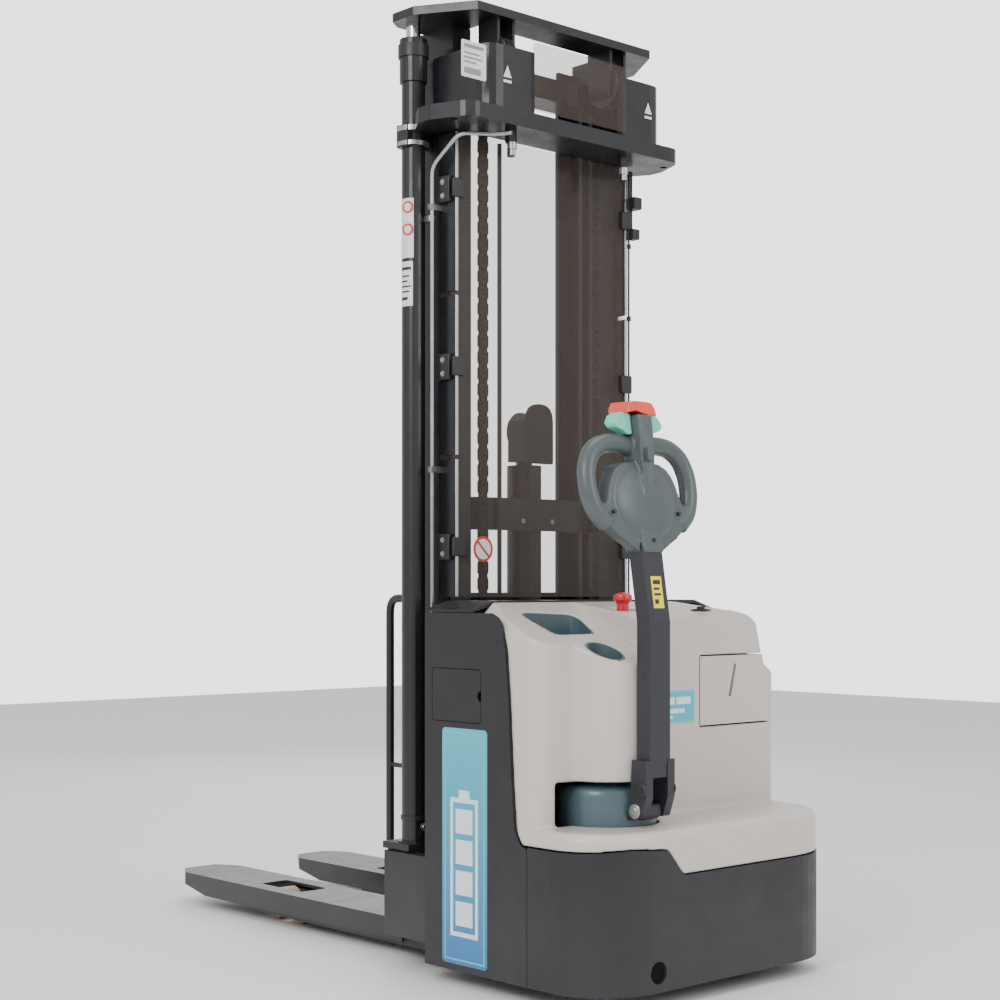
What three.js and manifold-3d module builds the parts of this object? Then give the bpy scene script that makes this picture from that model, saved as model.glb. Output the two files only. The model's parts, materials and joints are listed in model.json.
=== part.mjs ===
// Walkie stacker with a three stage mast. Millimetres, +Z up, forks towards +Y, operator at -Y.
// Every coordinate below has Y counted from the rear face; the group is moved to its centre at the end.
import * as THREE from "three";
import { mergeVertices } from "three/addons/utils/BufferGeometryUtils.js";
import Module from "manifold-3d";

const wasm = await Module();
wasm.setup();

// ---- driving sizes ----
const LENGTH = 1812; // rear face to fork tips
const HALF_WIDTH = 400;
const HEIGHT = 2222; // top plate, mast lowered
const TOUCH = 0.3; // gap between pieces that rest on each other
const PIN_GAP = 0.3; // radial gap of every turning fit
const SEAM = 1.5; // visible seam between covers
const DOOR_SEAM = 2.5; // round the storage door
const SKIN = 9; // cover thickness

const BODY_FRONT = 558; // front end of the covers
const GROUND_GAP = 35; // covers above the floor
const DECK_Z = 300; // deck that carries the drive unit
const LEDGE_Z = 372; // beige ledge
const TOP_Z = 850; // hood at the mast
const SLOPE = Math.tan((24 * Math.PI) / 180);

const STEER_X = -175;
const STEER_Y = 206;
const DRUM_R = 110;
const BULGE_R = DRUM_R + 9;
const WALL_Y = STEER_Y + DRUM_R + 19; // wall between drive unit and battery
const WHEEL_R = 110;
const WHEEL_W = 70;
const PIVOT_Y = STEER_Y - DRUM_R - 20;
const PIVOT_Z = 407;
const PIN_R = 8;
const ARM_W = 63;

const CASTER_X = 230;
const CASTER_Y = 205;
const CASTER_R = 50;
const CASTER_TRAIL = 32;

const FORK_X = 195; // centre of a fork
const FORK_W = 180;
const FORK_TOP = 88;
const FORK_BASE = 34;
const FORK_HEEL = 782;
const SHANK = 30;
const LEG_W = FORK_W - 30;
const LEG_H = 72;
const LEG_TOP = LEG_H + TOUCH; // what stands on the legs
const LOAD_R = 40;
const LOAD_W = 62;
const LOAD_Y = [LENGTH - 527, LENGTH - 422];
const LEG_TIP = LENGTH - 342;

const CYL_X = 325;
const CYL_Y = 690;
const CYL_R = 27.5;
const ROD_R = 17;
const CYL_BASE = 268;
const CHAIN_X = 186;
const SHEAVE_Y = 553;
const PLATE_T = 20;
const PLATE_Z = HEIGHT - PLATE_T; // top plate's underside
const SHEAVE_Z = PLATE_Z - 84;
const SHEAVE_R = 42;
const CHAIN_T = 12;
const CHAIN_W = 26;
const BEAM_TOP = PLATE_Z - 82;
const BEAM_H = 144;
const FLANGE_Z = BEAM_TOP - BEAM_H - 34; // underside of the crossbeam's flange
const INNER_TOP = PLATE_Z - 52;
const CYL_TOP = PLATE_Z - 39;
const CLAMP_Z = FLANGE_Z - 33;
const FREE_Y = 659;
const FREE_Z = 1265;

// ---- colours ----
const COLOURS = {
  charcoal: 0x3a393f,
  beige: 0xd7d0cb,
  steel: 0x32323a,
  grey: 0x626c6e,
  blueGrey: 0x6e828a,
  teal: 0x6ed7b9,
  red: 0xeb5a3c,
  stopRed: 0xc8142d,
  chrome: 0xc8c8cc,
  dark: 0x1e1e22,
  clear: 0x9a8f86,
  tan: 0xb98a55,
};

// ---- solids ----
function solid(geometry) {
  geometry.deleteAttribute("normal");
  geometry.deleteAttribute("uv");
  const merged = mergeVertices(geometry, 1e-3);
  return new wasm.Manifold(
    new wasm.Mesh({
      numProp: 3,
      vertProperties: merged.attributes.position.array,
      triVerts: new Uint32Array(merged.index.array),
    }),
  );
}

function box(x0, x1, y0, y1, z0, z1) {
  const g = new THREE.BoxGeometry(Math.abs(x1 - x0), Math.abs(y1 - y0), Math.abs(z1 - z0));
  return solid(g.translate((x0 + x1) / 2, (y0 + y1) / 2, (z0 + z1) / 2));
}

function extrude(points, depth, bevel = 0) {
  const shape = new THREE.Shape(points.map(([a, b]) => new THREE.Vector2(a, b)));
  const options = { depth, bevelEnabled: bevel > 0, steps: 1, curveSegments: 8 };
  if (bevel > 0) {
    Object.assign(options, { bevelThickness: bevel, bevelSize: bevel, bevelOffset: -bevel, bevelSegments: 3 });
  }
  return new THREE.ExtrudeGeometry(shape, options);
}

// Points are [x, y], extruded along Z.
function prismZ(points, z0, z1) {
  return solid(extrude(points, z1 - z0).translate(0, 0, z0));
}

// The same with rounded upper and lower edges.
function pillowZ(points, z0, z1, bevel) {
  return solid(extrude(points, z1 - z0 - 2 * bevel, bevel).translate(0, 0, z0 + bevel));
}

// Points are [y, z], extruded along X.
function prismX(points, xa, xb) {
  const x0 = Math.min(xa, xb);
  const g = extrude(points, Math.abs(xb - xa));
  g.applyMatrix4(new THREE.Matrix4().set(0, 0, 1, x0, 1, 0, 0, 0, 0, 1, 0, 0, 0, 0, 0, 1));
  return solid(g);
}

// Points are [x, z], extruded along Y.
function prismY(points, y0, y1) {
  const g = extrude(points, y1 - y0);
  g.applyMatrix4(new THREE.Matrix4().set(1, 0, 0, 0, 0, 0, -1, y1, 0, 1, 0, 0, 0, 0, 0, 1));
  return solid(g);
}

function rodZ(x, y, r, z0, z1, sides = 24) {
  const g = new THREE.CylinderGeometry(r, r, z1 - z0, sides).rotateX(Math.PI / 2);
  return solid(g.translate(x, y, (z0 + z1) / 2));
}

function rodX(y, z, r, xa, xb, sides = 24) {
  const g = new THREE.CylinderGeometry(r, r, Math.abs(xb - xa), sides).rotateZ(Math.PI / 2);
  return solid(g.translate((xa + xb) / 2, y, z));
}

function rodY(x, z, r, y0, y1, sides = 24) {
  return solid(new THREE.CylinderGeometry(r, r, y1 - y0, sides).translate(x, (y0 + y1) / 2, z));
}

// A run of points followed exactly, so that straight lengths take no extra faces.
class Run extends THREE.Curve {
  constructor(points) {
    super();
    this.points = points;
  }
  getPoint(t) {
    return this.points[Math.round(t * (this.points.length - 1))].clone();
  }
  getPointAt(t) {
    return this.getPoint(t);
  }
  getTangentAt(t) {
    const last = this.points.length - 1;
    const i = Math.round(t * last);
    const next = this.points[Math.min(i + 1, last)].clone().sub(this.points[Math.min(i, last - 1)]).normalize();
    const before = this.points[Math.max(i, 1)].clone().sub(this.points[Math.max(i - 1, 0)]).normalize();
    return next.add(before).normalize();
  }
}

// Round section along a list of points.
function sweep(points, r, sides) {
  const ring = [];
  for (let i = 0; i < sides; i++) {
    const a = (i / sides) * 2 * Math.PI;
    ring.push(new THREE.Vector2(r * Math.cos(a), r * Math.sin(a)));
  }
  const options = { steps: points.length - 1, bevelEnabled: false, extrudePath: new Run(points) };
  return solid(new THREE.ExtrudeGeometry(new THREE.Shape(ring), options));
}

// A tube with rounded bends: straight runs between the given points, a bend of radius `bend` at each.
function bentTube(points, r, bend, sides = 10) {
  const v = points.map((p) => new THREE.Vector3(...p));
  const dense = [v[0]];
  for (let i = 1; i < v.length - 1; i++) {
    const start = v[i].clone().add(v[i - 1].clone().sub(v[i]).setLength(bend));
    const end = v[i].clone().add(v[i + 1].clone().sub(v[i]).setLength(bend));
    const curve = new THREE.QuadraticBezierCurve3(start, v[i], end);
    dense.push(...curve.getPoints(5));
  }
  dense.push(v[v.length - 1]);
  return sweep(dense, r, sides);
}

function join(...solids) {
  return solids.reduce((all, s) => all.add(s));
}

function cut(from, ...tools) {
  return tools.reduce((left, tool) => left.subtract(tool), from);
}

// Points are [a, b, radius]; each corner with a radius is rounded.
function rounded(points, steps = 4) {
  const out = [];
  points.forEach(([x, y, r = 0], i) => {
    if (!r) {
      out.push([x, y]);
      return;
    }
    const before = points[(i + points.length - 1) % points.length];
    const after = points[(i + 1) % points.length];
    const a = new THREE.Vector2(before[0] - x, before[1] - y).normalize();
    const b = new THREE.Vector2(after[0] - x, after[1] - y).normalize();
    const reach = r / Math.tan(Math.acos(a.dot(b)) / 2);
    for (let k = 0; k <= steps; k++) {
      const t = k / steps;
      const p = (1 - t) * (1 - t) * reach;
      const q = t * t * reach;
      out.push([x + p * a.x + q * b.x, y + p * a.y + q * b.y]);
    }
  });
  return out;
}

function mirrored(points, side) {
  return points.map(([x, ...rest]) => [x * side, ...rest]);
}

const root = new THREE.Group();
root.name = "walkie_stacker";

function node(name, body, colour, look = {}) {
  const mesh = body.getMesh();
  const g = new THREE.BufferGeometry();
  g.setAttribute("position", new THREE.BufferAttribute(new Float32Array(mesh.vertProperties), 3));
  g.setIndex(new THREE.BufferAttribute(new Uint32Array(mesh.triVerts), 1));
  const flat = g.toNonIndexed();
  flat.computeVertexNormals();
  const material = new THREE.MeshStandardMaterial({ color: colour, roughness: 0.5, metalness: 0.1, ...look });
  const made = new THREE.Mesh(flat, material);
  made.name = name;
  root.add(made);
}

const SIDES = [
  ["left", -1],
  ["right", 1],
];

// ---- plan outline of the body at the rear: a broad corner, straight sides ----
function rearPlan(inset, front) {
  const points = [[-HALF_WIDTH + inset, front]];
  const corner = 12;
  for (const side of [-1, 1]) {
    for (let k = 0; k <= corner; k++) {
      const step = side < 0 ? k : corner - k;
      const a = (step / corner) * (Math.PI / 2);
      const x = HALF_WIDTH - 175 + (175 - inset) * Math.cos(a) ** 0.9;
      const y = 150 - (150 - inset) * Math.sin(a) ** 0.9;
      points.push([side * x, y]);
    }
  }
  points.push([HALF_WIDTH - inset, front]);
  return points;
}

// Plan of the hood above the ledge, with the bulge round the steering axis.
function hoodPlan(inset, bulge) {
  const rear = 190 + inset;
  const side = HALF_WIDTH - 6 - inset;
  const points = [[-side, 560]];
  points.push(...rounded([[-side, 300], [-side, rear, 45], [-320, rear]], 5).slice(1, -1));
  const r = BULGE_R - inset;
  const steps = 28;
  for (let i = 0; i <= steps; i++) {
    const dx = -135 + (i / steps) * 270;
    const arc = bulge ? STEER_Y - Math.sqrt(Math.max(0, r * r - dx * dx)) : rear;
    const gap = Math.min(Math.max((12 - Math.abs(arc - rear)) / 12, 0), 1);
    points.push([STEER_X + dx, Math.min(arc, rear) - gap * gap * 3]);
  }
  points.push(...rounded([[0, rear], [side - 6, rear, 30], [side, 300]], 4).slice(1, -1));
  points.push([side, 560]);
  return points;
}

// Height of the sloping hood top at a distance from the rear.
function slopeZ(y) {
  return TOP_Z - (390 - y) * SLOPE;
}

// ---- base frame ----
{
  const deck = prismZ(rearPlan(14, WALL_Y + 10), DECK_Z, DECK_Z + 12);
  const drumHole = rodZ(STEER_X, STEER_Y, DRUM_R + 3, DECK_Z - 1, DECK_Z + 20, 40);
  const floor = box(20 - HALF_WIDTH, HALF_WIDTH - 20, WALL_Y, 545, 45, 60);
  const tower = box(CASTER_X - 45, CASTER_X + 45, CASTER_Y - 45, CASTER_Y + 45, 130, DECK_Z + 1);
  const stemHole = rodZ(CASTER_X, CASTER_Y, 12 + PIN_GAP, 120, 240);
  const rearWall = box(20 - HALF_WIDTH, HALF_WIDTH - 20, WALL_Y, WALL_Y + 10, 45, DECK_Z + 1);
  const bulkhead = box(30 - HALF_WIDTH, HALF_WIDTH - 30, 544, 557, 45, 815);
  const foot = box(-372, 372, 556, 590, LEG_TOP, CYL_BASE);
  const lower = box(-119, 119, 556, 590, 30, 100);
  let frame = join(deck, floor, rearWall, bulkhead, foot, lower, tower);
  for (const [, s] of SIDES) {
    const cheek = box(s * 340, s * 372, 589, 740, LEG_TOP, CYL_BASE);
    const seat = box(s * 284, s * 345, 655, 740, 200, CYL_BASE);
    const brace = box(s * 284, s * 345, 589, 740, LEG_TOP, 96);
    frame = join(frame, cheek, seat, brace);
  }
  node("base_frame", cut(frame, drumHole, stemHole), COLOURS.steel);
}

// ---- support legs with the load wheels ----
for (const [name, s] of SIDES) {
  const x = s * FORK_X;
  const low = 22;
  const side = [
    [560, low],
    [LEG_TIP - 15, low],
    [LEG_TIP, 34],
    [LEG_TIP - 8, 60],
    [LEG_TIP - 30, LEG_H],
    [560, LEG_H],
  ];
  let leg = prismX(side, x - LEG_W / 2, x + LEG_W / 2);
  leg = cut(leg, box(x - LOAD_W / 2 - 4, x + LOAD_W / 2 + 4, LOAD_Y[0] - 46, LOAD_Y[1] + 46, 0, 100));
  for (const y of LOAD_Y) leg = leg.add(rodX(y, LOAD_R, 8, x - LEG_W / 2 + 5, x + LEG_W / 2 - 5, 16));
  node("leg_" + name, leg, COLOURS.steel);
  LOAD_Y.forEach((y, i) => {
    const wheel = rodX(y, LOAD_R, LOAD_R, x - LOAD_W / 2, x + LOAD_W / 2, 36);
    const bore = rodX(y, LOAD_R, 8 + PIN_GAP, x - LOAD_W, x + LOAD_W, 16);
    node("load_wheel_" + name + "_" + (i + 1), cut(wheel, bore), COLOURS.tan);
  });
}

// ---- rear bumper: its upper edge, which the hood follows ----
function bumperEdge(gap) {
  const wide = HALF_WIDTH + 20;
  return [
    [-wide, 0],
    [wide, 0],
    [wide, 273 + gap],
    [-150 + gap, 273 + gap, 20],
    [-198 + gap, 330 + gap, 20],
    [-300, 338 + gap],
    [-wide, 330 + gap],
  ];
}
{
  const outer = prismZ(rearPlan(0, 222 - SEAM), GROUND_GAP, 345);
  const inner = prismZ(rearPlan(SKIN, 240), GROUND_GAP - 10, 360);
  const keep = rounded(bumperEdge(0));
  const hole = rodY(-228, 77, 24, -20, 120);
  node("rear_bumper", cut(outer.intersect(prismY(keep, -20, 300)), inner, hole), COLOURS.charcoal);
}

// ---- side covers ----
const COVER_EDGE = [
  [222, GROUND_GAP],
  [222, 327],
  [242, 335],
  [261, 365],
  [270, 471],
  [280, 642],
  [290, 749],
  [305, 802],
  [318, 818],
  [340, 827],
];
const DOOR = [
  [367, 585],
  [533, 585],
  [533, 704],
  [367, 704],
];
for (const [name, s] of SIDES) {
  const outline = [...COVER_EDGE, [BODY_FRONT, 827], [BODY_FRONT, GROUND_GAP]];
  const wall = prismX(outline, s * HALF_WIDTH, s * (HALF_WIDTH - SKIN));
  const top = box(s * (HALF_WIDTH - 40), s * (HALF_WIDTH - 1), 400, BODY_FRONT, 818, 827);
  const front = box(s * (HALF_WIDTH - 26), s * (HALF_WIDTH - 1), 549, BODY_FRONT, GROUND_GAP, 826);
  let cover = join(wall, top, front);
  if (s < 0) {
    const opening = rounded(DOOR.map(([y, z]) => [y, z, 10]), 3);
    cover = cut(cover, prismX(opening, -HALF_WIDTH - 20, 20 - HALF_WIDTH));
  }
  node("side_cover_" + name, cover, COLOURS.charcoal);
}

// ---- flap door in the left cover ----
{
  const leaf = rounded(
    DOOR.map(([y, z]) => [y + Math.sign(450 - y) * SEAM, z + Math.sign(645 - z) * SEAM, 9]),
    3,
  );
  const notch = rodX(366, 645, 13, -HALF_WIDTH - 20, 20 - HALF_WIDTH, 20);
  node("side_door", cut(prismX(leaf, -HALF_WIDTH, -HALF_WIDTH + 7), notch), COLOURS.charcoal);
}

// ---- hood ----
const MOUTH_Z = 466; // top of the opening round the drum
const STOP = [-62, 265];
const STOP_Z = 818; // floor of the dish round the E-stop
const DISH_R = 36;
const KEY = [160, 226];
const KEY_Z = 829;
const STOP_R = 14;
const KEY_R = 17;
const PLAY = 3; // round the stems that pass through the hood
const STORE_X = 112;
const STORE = [563, 727];
const CUP = [-226, 160, 42];
const TRAY = rounded(
  [
    [-300, 236, 22],
    [-176, 236, 26],
    [-150, 330, 26],
    [-315, 346, 26],
  ],
  4,
);
function hoodBody(inset) {
  const low = 200;
  const ledge = inset
    ? prismZ(rearPlan(inset + 2, 240), low, LEDGE_Z - inset)
    : pillowZ(rearPlan(2, 300), low, LEDGE_Z, 20);
  const upper = prismZ(hoodPlan(inset, false), LEDGE_Z - 40, 900);
  const bulge = prismZ(hoodPlan(inset, true), MOUTH_Z - inset, 900);
  const split = -108;
  const leftSide = prismX(
    [
      [60, 0],
      [60, slopeZ(60) - inset],
      [390, TOP_Z - inset],
      [600, TOP_Z - inset],
      [600, 0],
    ],
    -500,
    split + inset,
  );
  const rightSide = prismX(
    rounded([
      [60, 0],
      [60, 775 - inset],
      [215, 826 - inset, 20],
      [390, TOP_Z - inset],
      [600, TOP_Z - inset],
      [600, 0],
    ]),
    split + inset - 1,
    500,
  );
  const wide = HALF_WIDTH;
  const section = rounded([
    [inset - wide, 0],
    [inset + 4 - wide, 770],
    [inset + 20 - wide, 815 - inset, 20],
    [60 - wide, TOP_Z - inset],
    [wide - 160, TOP_Z - inset, 30],
    [wide - 82 - inset, 800 - inset, 30],
    [wide - 56 - inset, 700 - inset, 8],
    [wide - 10 - inset, 672 - inset, 10],
    [wide - 4 - inset, 0],
  ]);
  return join(upper, bulge)
    .intersect(leftSide.add(rightSide))
    .intersect(prismY(section, 0, 700))
    .add(ledge);
}
{
  const outer = hoodBody(0);
  const inner = hoodBody(SKIN);
  let hood = cut(outer, inner);
  const under = prismY(rounded(bumperEdge(SEAM)), -20, 700);
  const front = box(-600, 600, 397, 700, 0, 1000);
  const grown = [...COVER_EDGE.map(([y, z]) => [y - SEAM, z + 0.4]), [600, 828.5], [600, 0]];
  hood = cut(hood, under, front);
  const lip = 14; // tongue of the hood behind the edge of a side cover
  const behind = grown.map(([y, z]) => [y + lip, z - lip]);
  for (const [, s] of SIDES) {
    const far = s * (HALF_WIDTH + 100);
    hood = cut(hood, prismX(grown, far, s * (HALF_WIDTH - 11)), prismX(behind, far, s * (HALF_WIDTH - 20)));
  }
  hood = cut(hood, box(-600, 600, 221, 700, 0, 330));
  const mouth = box(STEER_X - 170, STEER_X, 26, 330, LEDGE_Z, MOUTH_Z);
  hood = cut(hood, mouth, rodZ(STEER_X, STEER_Y, DRUM_R + 6, 200, MOUTH_Z, 48));
  hood = cut(hood, prismZ(TRAY, 700, 900), rodZ(CUP[0], CUP[1], CUP[2], 650, 900, 36));
  const storeHole = box(STORE_X, 420, 100, 252, STORE[0], STORE[1]);
  hood = hood.add(rodZ(STOP[0], STOP[1], DISH_R + 8, STOP_Z - 8, STOP_Z + 12, 36));
  hood = cut(hood, rodZ(STOP[0], STOP[1], DISH_R, STOP_Z, 900, 36));
  hood = hood.add(rodZ(KEY[0], KEY[1], KEY_R + 8, KEY_Z - 17, KEY_Z, 28));
  const stopHole = rodZ(STOP[0], STOP[1], STOP_R + PLAY, 780, 900);
  const keyHole = rodZ(KEY[0], KEY[1], KEY_R + 1, 780, 900);
  hood = cut(hood, storeHole, stopHole, keyHole);
  // The sloping panel round the tray and the cup is a piece of its own, let into the hood.
  const panel = (gap) =>
    prismX(
      [
        [50, slopeZ(50) - SKIN - 3 - gap],
        [372 + gap, slopeZ(372) - SKIN - 3 - gap],
        [372 + gap, TOP_Z + 50],
        [50, TOP_Z + 50],
      ],
      -338 - gap,
      -112 + gap,
    );
  node("hood_panel", hood.intersect(panel(0)), COLOURS.beige);
  node("hood", cut(hood, panel(TOUCH)), COLOURS.beige);
  const leaf = box(STORE_X + DOOR_SEAM, 420, 100, 252 - SEAM, STORE[0] + DOOR_SEAM, STORE[1] - DOOR_SEAM);
  const slot = prismY(
    [
      [214, 628],
      [225, 630],
      [243, 702],
      [236, 707],
    ],
    150,
    230,
  );
  node("storage_door", cut(outer.intersect(leaf), inner, slot), COLOURS.beige);
}

// ---- tray and cup insert under the hood ----
{
  const grow = (points, d) => {
    const cx = points.reduce((t, p) => t + p[0], 0) / points.length;
    const cy = points.reduce((t, p) => t + p[1], 0) / points.length;
    return points.map(([x, y]) => [x + Math.sign(x - cx) * d, y + Math.sign(y - cy) * d]);
  };
  const gap = 0.5;
  const below = prismX(
    [
      [60, 0],
      [60, slopeZ(60) - 2],
      [390, TOP_Z - 2],
      [390, 0],
    ],
    -500,
    0,
  );
  const deep = prismX(
    [
      [60, 0],
      [60, slopeZ(60) - SKIN - 2],
      [390, TOP_Z - SKIN - 2],
      [390, 0],
    ],
    -500,
    0,
  );
  const trayWall = prismZ(grow(TRAY, -gap), 735, 900).intersect(below);
  const trayHollow = prismZ(grow(TRAY, -gap - 3), 740, 900);
  const cupWall = rodZ(CUP[0], CUP[1], CUP[2] - gap, 676, 900, 36).intersect(below);
  const cupHollow = rodZ(CUP[0], CUP[1], CUP[2] - 4, 680, 900, 36);
  const link = box(-245, -210, 160, 300, 715, 738).intersect(deep);
  const insert = join(cut(trayWall, trayHollow), link, cupWall);
  node("console_insert", cut(insert, cupHollow), COLOURS.blueGrey);
}

// ---- covers by the mast, battery and pump inside ----
{
  const plate = rounded([
    [-396, 828.5],
    [-396, 833],
    [-330, 853, 30],
    [330, 853, 30],
    [396, 833],
    [396, 828.5],
    [330, 845],
    [-330, 845],
  ]);
  node("top_cover", prismY(plate, 398.5, BODY_FRONT + 4), COLOURS.dark);
  const battery = box(-330, 150, WALL_Y + 25, 530, 60 + TOUCH, 760);
  const lugs = join(rodZ(-250, 445, 14, 759, 785), rodZ(70, 445, 14, 759, 785), box(-120, -60, 400, 490, 759, 776));
  node("battery_pack", battery.add(lugs), COLOURS.blueGrey);
  const pump = join(
    box(190, 350, 380, 520, 60 + TOUCH, 300),
    rodZ(270, 450, 62, 299, 480, 28),
    rodZ(270, 450, 40, 479, 540, 24),
  );
  node("pump_unit", pump, COLOURS.dark);
}

// ---- E-stop and the key switch ----
{
  const [x, y] = STOP;
  const z = STOP_Z;
  node("e_stop_button", join(rodZ(x, y, STOP_R, 790, z + 32, 24), rodZ(x, y, 22, z + 31, z + 54, 28)), COLOURS.stopRed);
  const barrel = rodZ(KEY[0], KEY[1], KEY_R, KEY_Z - 30, KEY_Z + 4, 28);
  const grip = box(KEY[0] - 11, KEY[0] + 11, KEY[1] - 3, KEY[1] + 3, KEY_Z + 3, KEY_Z + 10);
  node("key_switch", barrel.add(grip), COLOURS.dark);
}

// ---- drive unit: turns under the hood about the steering axis ----
{
  const drum = join(
    rodZ(STEER_X, STEER_Y, DRUM_R, 262, 452, 48),
    rodZ(STEER_X, STEER_Y, DRUM_R - 9, 451, 458, 48),
    rodZ(STEER_X, STEER_Y, 62, 457, 640, 32),
  );
  node("motor_cover", drum, COLOURS.blueGrey);
  const outX = STEER_X + WHEEL_W / 2 + 6;
  const head = rodZ(STEER_X, STEER_Y, 96, 232, 262 - TOUCH, 36);
  const drop = box(outX, outX + 46, STEER_Y - 40, STEER_Y + 40, 110, 233);
  const hub = rodX(STEER_Y, WHEEL_R, 40, outX, outX + 46, 28);
  const axle = rodX(STEER_Y, WHEEL_R, 15, STEER_X - WHEEL_W / 2 - 6, outX + 1, 20);
  node("drive_gearbox", join(head, drop, hub, axle), COLOURS.dark);
  const half = WHEEL_W / 2;
  const tyre = rodX(STEER_Y, WHEEL_R, WHEEL_R, STEER_X - half, STEER_X + half, 48);
  const recess = rodX(STEER_Y, WHEEL_R, 70, STEER_X - half - 5, STEER_X - half + 14, 32);
  const bore = rodX(STEER_Y, WHEEL_R, 15 + PIN_GAP, STEER_X - 60, STEER_X + 60, 20);
  node("drive_wheel", cut(tyre, recess, bore), COLOURS.dark);
}

// ---- tiller: bracket on the drum, pin, arm, head and its controls ----
{
  const x = STEER_X;
  const lug = rounded([
    [PIVOT_Y - 14, PIVOT_Z - 12, 8],
    [PIVOT_Y - 14, PIVOT_Z + 14, 8],
    [PIVOT_Y + 14, PIVOT_Z + 14, 6],
    [PIVOT_Y + 54, PIVOT_Z + 2],
    [PIVOT_Y + 54, 386],
    [PIVOT_Y, 386, 8],
  ]);
  const pinHole = rodX(PIVOT_Y, PIVOT_Z, PIN_R + PIN_GAP, x - 60, x + 60, 20);
  const shoe = box(x - 42, x + 42, PIVOT_Y + 18, PIVOT_Y + 54, 386, 404);
  const drumCut = rodZ(STEER_X, STEER_Y, DRUM_R + TOUCH, 300, 500, 48);
  const bracket = prismX(lug, x - 21, x + 21).add(shoe);
  node("tiller_bracket", cut(bracket, drumCut, pinHole), COLOURS.steel);
  const pin = rodX(PIVOT_Y, PIVOT_Z, PIN_R, x - 45.5, x + 45.5, 20);
  const pinHead = rodX(PIVOT_Y, PIVOT_Z, 11, x - 49, x - 45.3, 20);
  node("pivot_pin", pin.add(pinHead), COLOURS.chrome);

  const half = ARM_W / 2;
  const cheek = rounded([
    [PIVOT_Y - 31, 516],
    [PIVOT_Y - 31, 436, 6],
    [PIVOT_Y - 16, 392, 8],
    [PIVOT_Y + 15, 392, 12],
    [PIVOT_Y + 15, 440, 8],
    [PIVOT_Y + 10, 516],
  ]);
  const cheeks = join(prismX(cheek, x - 45, x - 23), prismX(cheek, x + 45, x + 23));
  const wrap = box(x - 24, x + 24, PIVOT_Y - 29, PIVOT_Y + 10, 478, 514);
  const lean = Math.tan((9 * Math.PI) / 180);
  const topZ = 978;
  const rear = PIVOT_Y - 30;
  const arm = prismX(
    [
      [rear, 505],
      [rear + 38, 505],
      [rear + 38, 810],
      [rear + 38 + (topZ - 810) * lean, topZ],
      [rear + (topZ - 810) * lean, topZ],
      [rear, 810],
    ],
    x - half,
    x + half,
  );
  const bore = prismX(
    [
      [rear + 4, 500],
      [rear + 34, 500],
      [rear + 34, 811],
      [rear + 34 + (topZ - 810) * lean, topZ + 1],
      [rear + 4 + (topZ - 810) * lean, topZ + 1],
      [rear + 4, 811],
    ],
    x - half + 4,
    x + half - 4,
  );
  const wrapHollow = box(x - 20, x + 20, PIVOT_Y - 25, PIVOT_Y + 6, 440, 520);
  node("tiller_arm", cut(join(cheeks, wrap, arm), pinHole, bore, wrapHollow), COLOURS.steel);

  // The head leans with the arm: its own height h runs from the joint at its foot.
  const headY = PIVOT_Y + 15;
  const at = (dx, h) => new THREE.Vector3(x + dx, headY + h * lean, topZ + 1 + h);
  const leaning = (points, depth, bevel) => {
    const g = extrude(points, depth, bevel);
    const y0 = headY + depth / 2;
    g.applyMatrix4(new THREE.Matrix4().set(1, 0, 0, x, 0, lean, -1, y0, 0, 1, 0, topZ + 1, 0, 0, 0, 1));
    return solid(g);
  };
  const both = (points) => [...points, ...points.map(([dx, h, r]) => [-dx, h, r]).reverse()];
  const shield = rounded(
    both([[34, 0], [92, 14, 24], [146, 56, 26], [158, 92], [124, 92, 8], [106, 132, 24], [84, 160, 24], [27, 173]]),
  );
  let head = leaning(shield, 26, 5).add(leaning(both([[27, 120], [27, 277]]), 26, 10));
  for (const [, s] of SIDES) {
    const grip = [
      [20, 218],
      [82, 217],
      [136, 199],
      [164, 152],
      [164, 98],
      [146, 64],
      [118, 46],
    ].map(([dx, h]) => at(s * dx, h));
    const curve = new THREE.CatmullRomCurve3(grip, false, "centripetal");
    head = head.add(sweep(curve.getPoints(14), 20, 12));
  }
  const wingZ = topZ + 260;
  const wingY = headY + 259 * lean;
  const shaftHole = rodX(wingY, wingZ, 8 + PIN_GAP, x - 80, x + 80, 20);
  const rockerZ = topZ + 191;
  const rockerY = headY + 190 * lean - 23;
  const rockerSeat = box(x - 15, x + 15, rockerY - 20, rockerY + 12, rockerZ - 14, rockerZ + 14);
  node("tiller_head", cut(head, shaftHole, rockerSeat), COLOURS.grey);

  const wing = [];
  for (let k = 0; k < 20; k++) {
    const a = (k / 20) * 2 * Math.PI;
    wing.push([wingY + 22 * Math.cos(a), wingZ + 17 * Math.sin(a)]);
  }
  const shaft = rodX(wingY, wingZ, 8, x - 60, x + 60, 20);
  node("throttle_butterfly", join(shaft, prismX(wing, x - 74, x - 38), prismX(wing, x + 38, x + 74)), COLOURS.teal);
  const belly = rounded(both([[50, 281.5], [50, 291, 8], [28, 306, 16]]), 4);
  node("belly_button", leaning(belly, 34, 5), COLOURS.red);
  node("lift_rocker", box(x - 14, x + 14, rockerY - 3, rockerY + 8, rockerZ - 12, rockerZ + 12), COLOURS.dark);
}

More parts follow.
